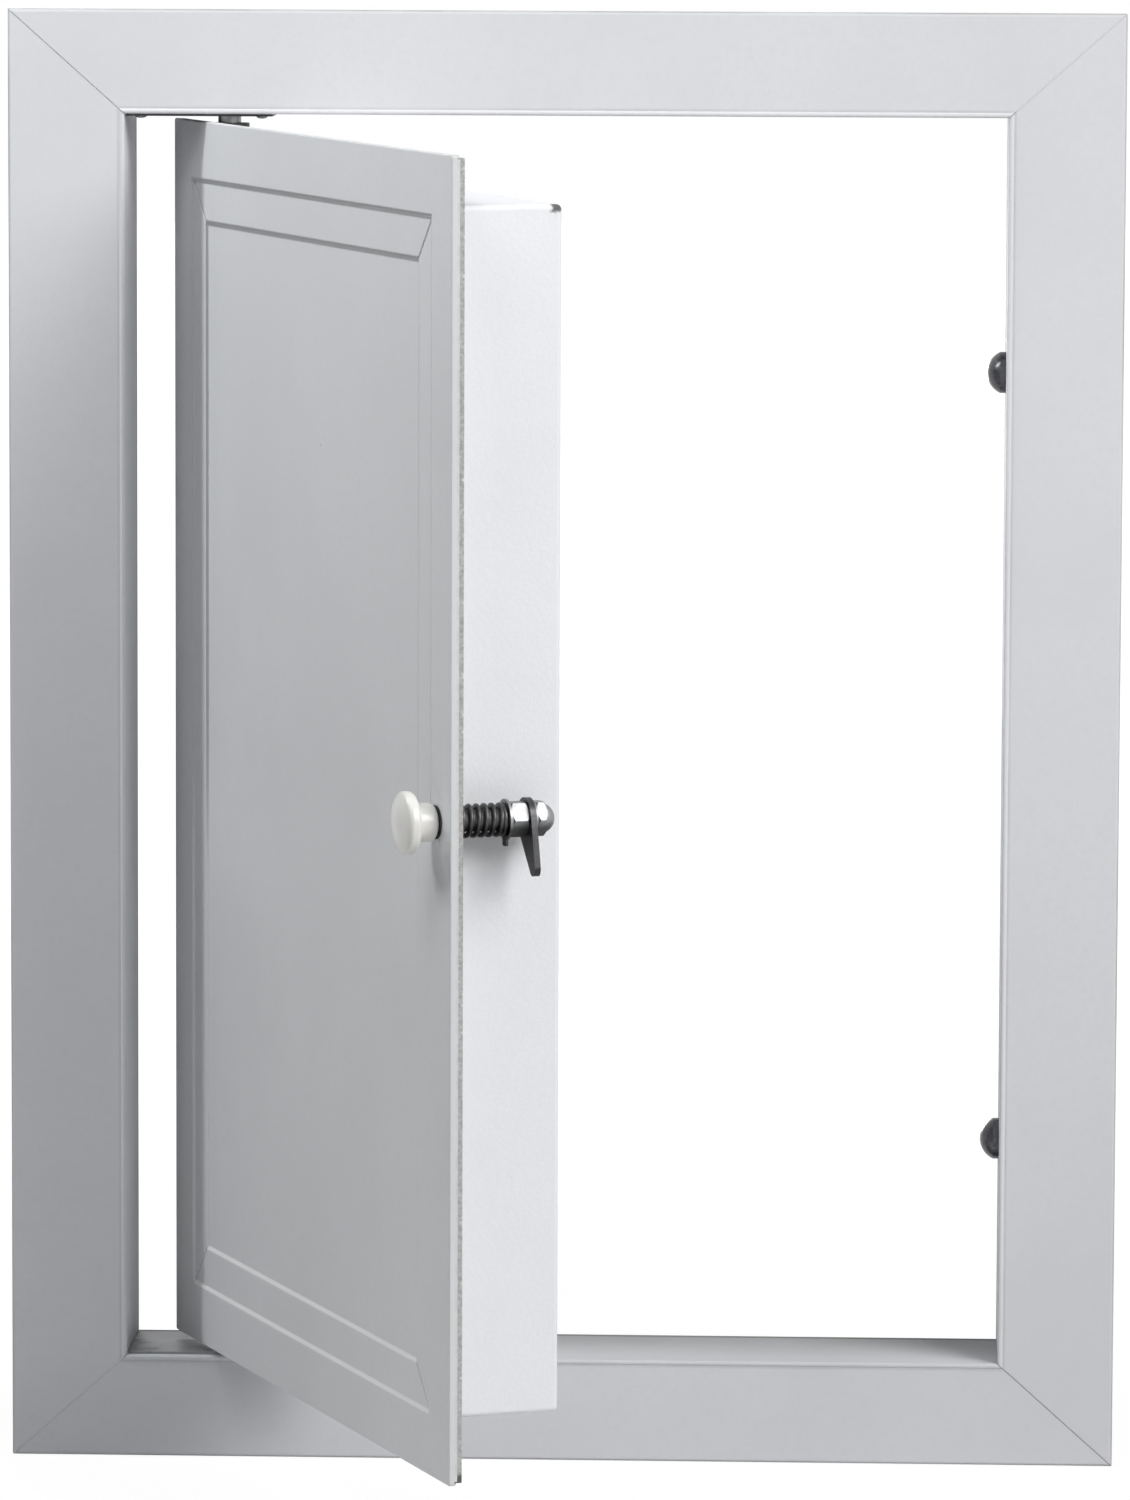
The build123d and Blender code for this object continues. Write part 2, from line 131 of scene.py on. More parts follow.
class HatchSizes(bpy.types.PropertyGroup):
    spring_turns: number_property("Spring turns", "Open coils between the closed ends", 6.0)
    spring_radius: length_property("Spring radius", "Mean radius of the coil", 0.0083)
    spring_wire: length_property("Spring wire", "Radius of the wire", 0.00145)
    rod_pitch: length_property("Rod thread pitch", "Rise of the rod's thread", 0.00175)
    stud_pitch: length_property("Stud thread pitch", "Rise of the studs' thread", 0.0015)
    screw_radius: length_property("Screw head radius", "Radius of each screw head", 0.0036)
    screw_height: length_property("Screw head height", "Height of each screw head", 0.0017)
    rivet_radius: length_property("Rivet head radius", "Radius of each rivet head", 0.0032)
    rivet_height: length_property("Rivet head height", "Height of each rivet head", 0.0013)
    lens: number_property("Lens", "Focal length of the camera in millimetres", 207.0)


def colour_property(name, description, value):
    return bpy.props.FloatVectorProperty(
        name=name, description=description, default=value, subtype="COLOR", min=0.0, max=1.0
    )


class HatchColours(bpy.types.PropertyGroup):
    lining: colour_property("Lining paint", "Satin paint on the lining", (0.77, 0.783, 0.81))
    leaf: colour_property("Leaf paint", "Satin paint on the leaf", (0.78, 0.792, 0.81))
    board: colour_property("Board", "Rough board behind the leaf's skin", (0.5, 0.5, 0.495))
    foam: colour_property("Foam", "Insulation block", (0.94, 0.95, 0.985))
    knob: colour_property("Knob", "Moulded knob", (0.87, 0.865, 0.84))
    nylon: colour_property("Nylon", "Bush and thrust washer", (0.70, 0.69, 0.65))
    zinc: colour_property("Bright zinc", "Plated latch pieces", (0.31, 0.315, 0.32))
    spring: colour_property("Spring wire", "Oiled spring steel", (0.06, 0.06, 0.06))
    lever: colour_property("Lever", "Blackened lever", (0.05, 0.05, 0.053))
    stud: colour_property("Stud", "Dark plated stud heads", (0.07, 0.07, 0.075))
    # Near black as painted shade under the head; the lower strip below has a lighter zinc.
    strip: colour_property("Pivot strip", "Dull plated strip", (0.07, 0.07, 0.072))
    sill_strip: colour_property("Sill strip", "Dull zinc on the lower strip", (0.22, 0.225, 0.235))


# Node sums


class Socket:
    """A node's output, which takes part in sums as a number does."""

    def __init__(self, tree, link):
        self.tree = tree
        self.link = link

    def calculate(self, operation, *values):
        sockets = dict(enumerate(values))
        return self.tree.add("ShaderNodeMath", {"operation": operation}, sockets)

    def __add__(self, other):
        return self.calculate("ADD", self, other)

    def __radd__(self, other):
        return self.calculate("ADD", other, self)

    def __sub__(self, other):
        return self.calculate("SUBTRACT", self, other)

    def __rsub__(self, other):
        return self.calculate("SUBTRACT", other, self)

    def __mul__(self, other):
        return self.calculate("MULTIPLY", self, other)

    def __rmul__(self, other):
        return self.calculate("MULTIPLY", other, self)

    def __truediv__(self, other):
        return self.calculate("DIVIDE", self, other)

    def __abs__(self):
        return self.calculate("ABSOLUTE", self)

    def most(self, other):
        return self.calculate("MAXIMUM", self, other)

    def least(self, other):
        return self.calculate("MINIMUM", self, other)

    def root(self):
        return self.calculate("SQRT", self)


class Tree:
    """A node tree that is filled one node at a time."""

    def __init__(self, graph):
        self.graph = graph

    def add(self, kind, settings=None, sockets=None, output=0):
        """Places a node: its settings first, then its sockets' values or links."""
        node = self.graph.nodes.new(kind)
        for key, value in (settings or {}).items():
            setattr(node, key, value)
        for key, value in (sockets or {}).items():
            for item in value if isinstance(value, list) else [value]:
                if isinstance(item, Socket):
                    self.graph.links.new(item.link, node.inputs[key])
                else:
                    node.inputs[key].default_value = item
        return Socket(self, node.outputs[output]) if node.outputs else node


class Finish(Tree):
    """A material; its patterns read the piece's Object coordinates."""

    def __init__(self, name):
        self.material = bpy.data.materials.new(name)
        self.material.use_nodes = True
        super().__init__(self.material.node_tree)
        self.graph.nodes.clear()
        self.place = self.add("ShaderNodeTexCoord", output="Object")

    def turned(self, origin, angle=0.0, scale=(1, 1, 1)):
        """Coordinates from origin, turned about Z by angle and stretched by scale."""
        moved = self.add(
            "ShaderNodeMapping",
            {"vector_type": "TEXTURE"},
            {"Vector": self.place, "Location": origin, "Rotation": (0, 0, angle)},
        )
        return self.add(
            "ShaderNodeVectorMath", {"operation": "MULTIPLY"}, {0: moved, 1: scale}
        )

    def axis(self, vector, name):
        return self.add("ShaderNodeSeparateXYZ", None, {"Vector": vector}, output=name)

    def noise(self, scale, detail=3.0, roughness=0.5, place=None):
        sockets = {"Vector": place or self.place, "Scale": scale, "Detail": detail}
        sockets["Roughness"] = roughness
        return self.add("ShaderNodeTexNoise", None, sockets)

    def cells(self, scale, output="Distance", feature="F1"):
        sockets = {"Vector": self.place, "Scale": scale}
        return self.add("ShaderNodeTexVoronoi", {"feature": feature}, sockets, output=output)

    def rise(self, value, low, high):
        """0 below low, 1 above high and smooth between; the other way round if low is more."""
        sockets = {"Value": value, "From Min": low, "From Max": high}
        return self.add("ShaderNodeMapRange", {"interpolation_type": "SMOOTHSTEP"}, sockets)

    def band(self, value, start, stop, edge):
        """1 from start to stop, falling to 0 over this edge outside them."""
        return self.rise(value, start - edge, start) * self.rise(value, stop + edge, stop)

    def height(self):
        """Height above the middle of the leaf."""
        return self.axis(self.place, "Z") - middle_height

    def specks(self, scale, size, share):
        """Sparse small dots, in this share of the cells."""
        near = self.rise(self.cells(scale), size * 1.3, size)
        colour = {"Color": self.cells(scale, "Color")}
        lot = self.add("ShaderNodeSeparateColor", None, colour, output="Red")
        return near * self.rise(lot, 1 - share, 1.01 - share)

    def mix(self, share, first, second):
        """A colour between two others."""
        first, second = [c if isinstance(c, Socket) else (*c, 1.0) for c in (first, second)]
        return self.add(
            "ShaderNodeMix", {"data_type": "RGBA"}, {0: share, 6: first, 7: second}, output=2
        )

    def close(self, colour, roughness, height, relief, metallic=0.0, **constants):
        """Ends the material in one shader; height times relief, in metres, is its bump."""
        sockets = {"Base Color": colour, "Roughness": roughness, "Metallic": metallic}
        sockets.update({key.replace("_", " "): value for key, value in constants.items()})
        bump = {"Height": height, "Distance": relief, "Strength": 1.0}
        sockets["Normal"] = self.add("ShaderNodeBump", None, bump)
        shader = self.add("ShaderNodeBsdfPrincipled", None, sockets)
        self.add("ShaderNodeOutputMaterial", None, {"Surface": shader})
        return self.material


def shade(colour, share):
    """The colour darkened to this share."""
    return tuple(channel * share for channel in colour)


def toned(colour, tone):
    """The colour with each channel multiplied by tone's."""
    return tuple(channel * other for channel, other in zip(colour, tone))


# Finishes


def satin_paint(name, colour, soil_and_shade, press=None):
    """Sprayed satin paint: fine orange peel, faint mottling, hairline scuffs and specks.

    soil_and_shade gives the share of grime and painted shade at each place, and press a pattern's
    bump and its painted highlight on the lower steps.
    """
    paint = Finish(name)
    peel = paint.noise(850.0, 2.0, 0.5)
    mottle = paint.noise(5.0, 4.0, 0.55)
    base = paint.mix(paint.rise(mottle, 0.35, 0.7), colour, shade(colour, 0.955))
    grain = paint.noise(230.0, 3.0, 0.6)
    base = paint.mix(paint.rise(grain, 0.4, 0.75) * 0.35, base, shade(colour, 0.93))
    drawn = paint.turned((0, 0, 0), 0.0, (1.0, 1.0, 0.04))
    scuff = paint.rise(paint.noise(420.0, 2.0, 0.7, drawn), 0.74, 0.8) * 0.3
    scuff = scuff * paint.rise(paint.noise(9.0, 2.0), 0.5, 0.62)
    base = paint.mix(scuff, base, shade(colour, 0.72))
    # Grime and painted shade, as the pattern gives them.
    dirt_and_shade = soil_and_shade(paint)
    base = paint.mix(dirt_and_shade, base, toned(colour, grime_and_painted_shade))
    specks = paint.specks(16.0, 0.014, 0.3)
    base = paint.mix(specks * 0.75, base, dark_speck)
    rough = 0.48 + 0.1 * mottle + 0.1 * scuff + 0.2 * dirt_and_shade
    height = peel * 0.6 + grain * 0.4
    if press:
        relief, ledge_highlight = press(paint)
        height = height + relief
        # Painted highlight on the moulding's lower steps.
        base = paint.mix(ledge_highlight * 0.9, base, ledge_highlight_colour)
    return paint.close(base, rough, height, 0.00009, Specular_IOR_Level=0.12)


def lining_mitres_and_shade(paint):
    """Painted shade beside the bead, along the flange's rim and deeper into the lining, more of it
    lower down and most at the lining's back edge; grime in the mitres.
    """
    across = abs(paint.axis(paint.place, "X")) - half_opening.x
    up = abs(paint.height()) - half_opening.z
    out = across.most(up)
    # Painted shade in a band just beside the bead.
    bead = paint.rise(out, bead_width - 0.0005, bead_width) * paint.rise(out, 0.0052, 0.0036)
    diagonal = abs(across * flange_height / flange_width - up) * paint.rise(out, -0.001, 0.0005)
    mitre = paint.rise(diagonal, 0.0011, 0.0003) * paint.rise(out, -0.0005, 0.0005)
    depth = paint.axis(paint.place, "Y")
    # Painted shade deeper into the lining, more of it lower down, and most at the lining's back
    # edge.
    low = paint.rise(paint.axis(paint.place, "Z"), 0.75, 0.1)
    deep_shade = paint.rise(depth, 0.0, lining_back - 0.006) * (0.2 + 0.4 * low)
    back = paint.rise(depth, lining_back - 0.008, lining_back - 0.0015) * 0.9 + deep_shade
    patchy = paint.rise(paint.noise(11.0, 4.0, 0.6), 0.3, 0.75)
    # Painted shade along the flange's outer rim.
    side_rim_shade = paint.rise(across, flange_width - 0.0016, flange_width - 0.0001)
    end_rim_shade = paint.rise(up, flange_height - 0.0016, flange_height - 0.0001)
    rim = side_rim_shade.most(end_rim_shade)
    edge_shade = (bead * 0.3 + rim * 0.8) * (0.4 + 0.6 * patchy)
    return edge_shade.most(mitre * 0.24).most(back * (0.75 + 0.25 * patchy))


def leaf_place(paint):
    """Depth behind the leaf's front and distance along it from the latch's axis."""
    local = paint.turned(tuple(latch_point), leaf_turn)
    return paint.axis(local, "X"), paint.axis(local, "Y")


def leaf_soil_and_shade(paint):
    """Finger grime round the knob, dust in the edge's fold and painted shade along the hinge edge.
    """
    depth, along = leaf_place(paint)
    up = paint.height()
    reach = (along * along + up * up).root()
    ring = paint.rise(reach, 0.034, 0.012) * paint.rise(paint.noise(90.0, 4.0, 0.65), 0.35, 0.8)
    fold = paint.rise(depth, 0.0026, 0.0046) * paint.rise(paint.noise(160.0, 3.0), 0.3, 0.7)
    # Painted shade along the hinge edge.
    hinge_edge = leaf_width - latch_inset
    hinge = paint.rise(along, hinge_edge - 0.025, hinge_edge)
    hinge = hinge * paint.rise(paint.noise(24.0, 3.0), 0.0, 0.8)
    return ring * 0.22 + fold * 0.22 + hinge * 0.32


def pressed_lines(paint):
    """The moulding's two steps and its mitres as bump, and a painted highlight on its lower steps.
    """
    _, along = leaf_place(paint)
    low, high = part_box("leaf_skin")
    side = leaf_width / 2 - abs(along - (leaf_width / 2 - latch_inset))
    up = paint.height()
    end = (high.z - low.z) / 2 - abs(up)
    inset = side.least(end)
    outer, inner = moulding_inset, moulding_inset + moulding_gap
    slopes = [paint.rise(inset, step - 0.0021, step + 0.0021) for step in (outer, inner)]
    crease = paint.rise(abs(side - end), 0.0022, 0.0003)
    crease = crease * paint.band(inset, outer + 0.002, inner - 0.0015, 0.001)
    lower = paint.rise(up, 0.0, -0.1)
    # Painted highlight on the lower steps of the moulding.
    lit_ledges = [paint.band(inset, step - 0.0005, step + 0.0011, 0.0007) for step in (outer, inner)]
    ledge_highlight = (lit_ledges[0] + lit_ledges[1]) * paint.rise(side - end, 0.0, 0.002) * lower
    return (slopes[0] + slopes[1] + crease * 0.3) * (lower * 30.0 - 42.0), ledge_highlight


def rough_board(name, colour):
    """Grey board with a torn, speckled edge and a knock at its lower free corner."""
    board = Finish(name)
    coarse = board.noise(420.0, 5.0, 0.72)
    fine = board.noise(1500.0, 3.0, 0.7)
    base = board.mix(board.rise(coarse, 0.34, 0.66), shade(colour, 0.78), shade(colour, 1.2))
    base = board.mix(board.rise(fine, 0.55, 0.7) * 0.35, base, shade(colour, 0.5))
    chips = board.specks(260.0, 0.22, 0.35)
    base = board.mix(chips * 0.7, base, bare_chip)
    _, along = leaf_place(board)
    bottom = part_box("leaf_board")[0].z
    corner = (board.axis(board.place, "Z") - bottom).most(along + latch_inset)
    knock = board.rise(corner + board.noise(500.0, 3.0, 0.7) * 0.004, 0.009, 0.005)
    base = board.mix(knock * 0.85, base, dark_bruise)
    height = coarse * 0.7 + fine * 0.3
    return board.close(base, 0.88 + 0.08 * fine, height, 0.0003, Specular_IOR_Level=0.2)


def bead_foam(name, colour):
    """Moulded foam: pressed beads, painted shade on the back face and one bruised corner."""
    foam = Finish(name)
    seams = foam.rise(foam.cells(300.0, feature="DISTANCE_TO_EDGE"), 0.1, 0.0)
    tone = foam.noise(14.0, 3.0, 0.6)
    base = foam.mix(foam.rise(tone, 0.3, 0.75), colour, shade(colour, 0.975))
    base = foam.mix(seams * 0.1, base, shade(colour, 0.85))
    depth, along = leaf_place(foam)
    # Painted shade: the back face a little darker and cooler.
    back_face_shade = foam.rise(depth, block_back, block_back + 0.0008)
    base = foam.mix(back_face_shade * 0.2, base, toned(colour, (0.86, 0.86, 0.9)))
    low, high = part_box("insulation_block")
    from_top = abs(foam.height() - (high.z - low.z) / 2)
    corner = from_top.most(abs(depth - block_back)).most(abs(along - block_inset))
    bruise = foam.rise(corner + foam.noise(300.0, 3.0, 0.7) * 0.006, 0.0085, 0.0055)
    base = foam.mix(bruise * 0.9, base, dark_bruise)
    height = foam.cells(300.0, feature="SMOOTH_F1") * -0.6 - seams * 0.5 - bruise * 2.0
    return foam.close(base, 0.62 + 0.1 * tone, height, 0.00009, Specular_IOR_Level=0.2)


def moulded(name, colour, gloss, sheen):
    """Moulded plastic with faint flow marks, rubbed spots and a fine grain."""
    plastic = Finish(name)
    flow = plastic.noise(60.0, 3.0, 0.5)
    grain = plastic.noise(1600.0, 2.0, 0.5)
    rub = plastic.rise(plastic.noise(210.0, 4.0, 0.7), 0.6, 0.72)
    base = plastic.mix(plastic.rise(flow, 0.3, 0.7), colour, toned(colour, (0.96, 0.955, 0.93)))
    base = plastic.mix(rub * 0.3, base, toned(colour, (0.8, 0.79, 0.76)))
    rough = gloss + 0.12 * flow + 0.15 * rub
    height = grain * 0.5 - rub * 0.5
    return plastic.close(base, rough, height, 0.00003, Coat_Weight=sheen, Coat_Roughness=0.15)


def darken_underside(metal, base, share):
    """Darkens the latch pieces' undersides as painted shade."""
    ragged = metal.height() + metal.noise(400.0, 3.0, 0.6) * 0.003
    return metal.mix(metal.rise(ragged, 0.002, -0.004) * share, base, underside_shade_colour)


def plated(name, colour, gloss, origin=(0, 0, 0), spangle=0.1, underside_shade=0.0):
    """Plated metal: crystal patches, fine lines across the turning, and dull stains."""
    metal = Finish(name)
    patches = metal.cells(330.0, "Color")
    patch = metal.add("ShaderNodeSeparateColor", None, {"Color": patches}, output="Green")
    base = metal.mix(patch * spangle * 3.0, colour, shade(colour, 0.75))
    stain = metal.rise(metal.noise(75.0, 4.0, 0.65), 0.5, 0.72)
    base = metal.mix(stain * 0.55, base, toned(colour, (0.62, 0.6, 0.56)))
    # Painted shade on the undersides.
    if underside_shade:
        base = darken_underside(metal, base, underside_shade)
    along = metal.turned(tuple(origin), leaf_turn, (1.0, 0.05, 0.05))
    lines = metal.noise(2600.0, 2.0, 0.6, along)
    rough = gloss + 0.16 * stain + 0.1 * lines + 0.12 * patch * spangle
    return metal.close(base, rough, lines * 0.6 - stain * 0.5, 0.00003, 1.0)


def blackened(name, colour, gloss, rub_tone, underside_shade=0.0):
    """Blackened steel with a rubbed, greyer high spot here and there."""
    metal = Finish(name)
    cloud = metal.noise(120.0, 4.0, 0.6)
    rub = metal.rise(metal.noise(330.0, 5.0, 0.7), 0.55, 0.72)
    base = metal.mix(metal.rise(cloud, 0.3, 0.7), colour, shade(colour, 1.5))
    base = metal.mix(rub * 0.5, base, rub_tone)
    # Painted shade on the undersides.
    if underside_shade:
        base = darken_underside(metal, base, underside_shade)
    rough = gloss + 0.14 * cloud + 0.1 * rub
    return metal.close(base, rough, metal.noise(900.0, 3.0, 0.6), 0.00004, 0.85)


# Parts made in Geometry Nodes


def node_group(name, inputs):
    """A geometry tree with these named inputs, and the sockets that bring them in."""
    group = bpy.data.node_groups.new(name, "GeometryNodeTree")
    group.interface.new_socket("Geometry", in_out="INPUT", socket_type="NodeSocketGeometry")
    for label, kind in inputs:
        group.interface.new_socket(label, in_out="INPUT", socket_type="NodeSocket" + kind)
    group.interface.new_socket("Geometry", in_out="OUTPUT", socket_type="NodeSocketGeometry")
    tree = Tree(group)
    given = {label: tree.add("NodeGroupInput", output=label) for label, _ in inputs}
    given["Geometry"] = tree.add("NodeGroupInput", output="Geometry")
    return tree, given


def end_group(tree, shape, material):
    """Closes a tree: smooth, one real mesh, one finish."""
    smooth = tree.add("GeometryNodeSetShadeSmooth", None, {"Geometry": shape})
    real = tree.add("GeometryNodeRealizeInstances", None, {"Geometry": smooth})
    done = tree.add("GeometryNodeSetMaterial", None, {"Geometry": real, "Material": material})
    tree.add("NodeGroupOutput", None, {"Geometry": done})
    return tree.graph


def helix_group():
    """Wire or thread ridge wound along Z, with flat closing rings where they are asked for."""
    tree, given = node_group(
        "helix",
        [
            ("Turns", "Float"),
            ("Radius", "Float"),
            ("Length", "Float"),
            ("Wire", "Float"),
            ("Sides", "Int"),
            ("Steps", "Int"),
            ("Rings", "Bool"),
            ("Finish", "Material"),
        ],
    )
    winding = {"Resolution": given["Steps"], "Rotations": given["Turns"]}
    winding.update({"Start Radius": given["Radius"], "End Radius": given["Radius"]})
    winding["Height"] = given["Length"]
    line = tree.add("GeometryNodeCurveSpiral", None, winding)
    ring = tree.add(
        "GeometryNodeCurvePrimitiveCircle",
        None,
        {"Resolution": given["Steps"], "Radius": given["Radius"]},
    )
    lift = tree.add("ShaderNodeCombineXYZ", None, {"Z": given["Length"]})
    far_ring = tree.add("GeometryNodeTransform", None, {"Geometry": ring, "Translation": lift})
    closed = tree.add("GeometryNodeJoinGeometry", None, {"Geometry": [line, ring, far_ring]})
    wound = tree.add(
        "GeometryNodeSwitch",
        {"input_type": "GEOMETRY"},
        {"Switch": given["Rings"], "False": line, "True": closed},
    )
    section = tree.add(
        "GeometryNodeCurvePrimitiveCircle",
        None,
        {"Resolution": given["Sides"], "Radius": given["Wire"]},
    )
    tube = tree.add(
        "GeometryNodeCurveToMesh",
        None,
        {"Curve": wound, "Profile Curve": section, "Fill Caps": True},
    )
    return end_group(tree, tube, given["Finish"])


def heads_group():
    """A domed head on each point, facing the way the point says; some have a cross recess."""
    tree, given = node_group(
        "heads",
        [
            ("Radius", "Float"),
            ("Height", "Float"),
            ("Recess", "Bool"),
            ("Finish", "Material"),
        ],
    )
    roundness = {"Segments": 28, "Rings": 14, "Radius": 1.0}
    ball = tree.add("GeometryNodeMeshUVSphere", None, roundness)
    place = {"Vector": tree.add("GeometryNodeInputPosition")}
    spot = {axis: tree.add("ShaderNodeSeparateXYZ", None, place, output=axis) for axis in "XYZ"}
    spot["Z"] = spot["Z"].most(0.0)
    flat = tree.add("ShaderNodeCombineXYZ", None, spot)
    dome = tree.add("GeometryNodeSetPosition", None, {"Geometry": ball, "Position": flat})
    size = {"X": given["Radius"], "Y": given["Radius"], "Z": given["Height"]}
    scale = tree.add("ShaderNodeCombineXYZ", None, size)
    dome = tree.add("GeometryNodeTransform", None, {"Geometry": dome, "Scale": scale})
    bars = []
    for long_axis in ("X", "Y"):
        wide_axis = "Y" if long_axis == "X" else "X"
        bar = {long_axis: given["Radius"] * 1.1, wide_axis: given["Radius"] * 0.24}
        bar["Z"] = given["Height"] * 1.1
        size = tree.add("ShaderNodeCombineXYZ", None, bar)
        bars.append(tree.add("GeometryNodeMeshCube", None, {"Size": size}))
    lift = tree.add("ShaderNodeCombineXYZ", None, {"Z": given["Height"]})
    bars = [
        tree.add("GeometryNodeTransform", None, {"Geometry": bar, "Translation": lift})
        for bar in bars
    ]
    cut = tree.add(
        "GeometryNodeMeshBoolean", {"operation": "DIFFERENCE"}, {"Mesh 1": dome, "Mesh 2": bars}
    )
    head = tree.add(
        "GeometryNodeSwitch",
        {"input_type": "GEOMETRY"},
        {"Switch": given["Recess"], "False": dome, "True": cut},
    )
    facing = tree.add(
        "GeometryNodeInputNamedAttribute", {"data_type": "FLOAT_VECTOR"}, {"Name": "facing"}
    )
    turn = tree.add("FunctionNodeAlignRotationToVector", {"axis": "Z"}, {"Vector": facing})
    spun = tree.add(
        "FunctionNodeRandomValue", {"data_type": "FLOAT"}, {"Min": 0.0, "Max": 1.5, "Seed": 4}, 1
    )
    spin = tree.add("ShaderNodeCombineXYZ", None, {"Z": spun})
    spin = tree.add("FunctionNodeEulerToRotation", None, {"Euler": spin})
    turn = tree.add(
        "FunctionNodeRotateRotation",
        {"rotation_space": "LOCAL"},
        {"Rotation": turn, "Rotate By": spin},
    )
    heads = tree.add(
        "GeometryNodeInstanceOnPoints",
        None,
        {"Points": given["Geometry"], "Instance": head, "Rotation": turn},
    )
    return end_group(tree, heads, given["Finish"])


def grown(name, group, values, points=None, facings=None):
    """Runs a geometry tree on a scratch object and returns its result as a plain mesh."""
    seed = bpy.data.meshes.new(name + "_points")
    seed.from_pydata(points or [(0, 0, 0)], [], [])
    if facings:
        attribute = seed.attributes.new("facing", "FLOAT_VECTOR", "POINT")
        attribute.data.foreach_set("vector", [value for facing in facings for value in facing])
    scratch = bpy.data.objects.new(name + "_points", seed)
    bpy.context.scene.collection.objects.link(scratch)
    modifier = scratch.modifiers.new("grow", "NODES")
    modifier.node_group = group
    for item in group.interface.items_tree:
        if item.item_type == "SOCKET" and item.in_out == "INPUT" and item.name in values:
            modifier[item.identifier] = values[item.name]
    evaluated = scratch.evaluated_get(bpy.context.evaluated_depsgraph_get())
    mesh = bpy.data.meshes.new_from_object(evaluated)
    bpy.data.objects.remove(scratch)
    if not mesh.polygons:
        raise RuntimeError(name + " came out empty")
    mesh.name = name
    return mesh


def piece(name, mesh, body):
    """Puts a finished mesh on its body."""
    made = bpy.data.objects.new(name, mesh)
    bpy.context.scene.collection.objects.link(made)
    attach(made, body)
    return made


def axis_place(start, direction):
    """The turn and move that bring Z onto direction and the origin onto start."""
    return Matrix.Translation(start) @ direction.to_track_quat("Z", "Y").to_matrix().to_4x4()


def coil(name, values, start, direction):
    """A helix that starts at this place and runs this way."""
    group = bpy.data.node_groups.get("helix") or helix_group()
    mesh = grown(name, group, values)
    mesh.transform(axis_place(start, direction))
    return mesh


def thread(name, start, direction, length, pitch, radius, ridge, finish):
    """The ridge of an outside thread."""
    values = {"Turns": length / pitch, "Radius": radius, "Length": length, "Wire": ridge}
    values.update({"Sides": 4, "Steps": 28, "Rings": False, "Finish": finish})
    return coil(name, values, start, direction)


def give(finish, *nodes):
    """Gives CAD nodes a finish."""
    for name in nodes:
        mesh = frame["nodes"][name].data
        mesh.materials.clear()
        mesh.materials.append(finish)


# Operators, one for each group of pieces


class HATCH_OT_lining(bpy.types.Operator):
    """Paints the lining and plates its cleats"""

    bl_idname = "hatch.lining"
    bl_label = "Finish Lining"

    def execute(self, context):
        colours = context.scene.hatch_colours
        paint = satin_paint("frame_paint", tuple(colours.lining), lining_mitres_and_shade)
        give(paint, "frame_head", "frame_sill", "frame_jamb_hinge", "frame_jamb_latch")
        zinc = plated("cleat_zinc", shade(tuple(colours.zinc), 1.3), 0.38, spangle=0.2)
        for end in ("top", "bottom"):
            give(zinc, f"corner_cleat_{end}_hinge", f"corner_cleat_{end}_latch")
        return {"FINISHED"}


class HATCH_OT_pivots(bpy.types.Operator):
    """Finishes the pivot strips, arms, pins and thrust washer"""

    bl_idname = "hatch.pivots"
    bl_label = "Finish Pivots"

    def execute(self, context):
        colours = context.scene.hatch_colours
        # The upper strip and the arms are near black as painted shade under the head.
        strip = plated("pivot_steel", tuple(colours.strip), 0.42)
        give(strip, "pivot_plate_top", "pivot_arm_top", "pivot_arm_bottom")
        give(plated("sill_strip", tuple(colours.sill_strip), 0.62), "pivot_plate_bottom")
        pin = plated("pin_steel", shade(tuple(colours.zinc), 0.9), 0.24, pivot_point)
        give(pin, "pivot_pin_top", "pivot_pin_bottom")
        give(moulded("nylon_white", tuple(colours.nylon), 0.4, 0.0), "thrust_washer", "latch_bush")
        return {"FINISHED"}


class HATCH_OT_studs(bpy.types.Operator):
    """Blackens the jamb studs and cuts the thread on their shanks"""

    bl_idname = "hatch.studs"
    bl_label = "Finish Studs"

    def execute(self, context):
        colours = context.scene.hatch_colours
        sizes = context.scene.hatch_sizes
        black = blackened("stud_dark", tuple(colours.stud), 0.2, (0.3, 0.3, 0.31))
        give(black, "jamb_stud_upper", "jamb_stud_lower")
        outwards = Vector((1, 0, 0))
        radius, ridge, plain_tip = 0.0049, 0.00042, 0.0012
        for end in ("upper", "lower"):
            low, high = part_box("jamb_stud_" + end)
            centre = (low + high) / 2
            start = Vector((half_opening.x + 0.0032, centre.y, centre.z))
            length = high.x - plain_tip - start.x
            name = "stud_thread_" + end
            pitch = sizes.stud_pitch
            mesh = thread(name, start, outwards, length, pitch, radius, ridge, black)
            piece(name, mesh, "lining")
        return {"FINISHED"}


class HATCH_OT_leaf(bpy.types.Operator):
    """Paints the leaf and finishes its board and insulation block"""

    bl_idname = "hatch.leaf"
    bl_label = "Finish Leaf"

    def execute(self, context):
        colours = context.scene.hatch_colours
        paint = satin_paint("leaf_paint", tuple(colours.leaf), leaf_soil_and_shade, pressed_lines)
        give(paint, "leaf_skin")
        give(rough_board("board_grey", tuple(colours.board)), "leaf_board")
        give(bead_foam("foam_white", tuple(colours.foam)), "insulation_block")
        return {"FINISHED"}


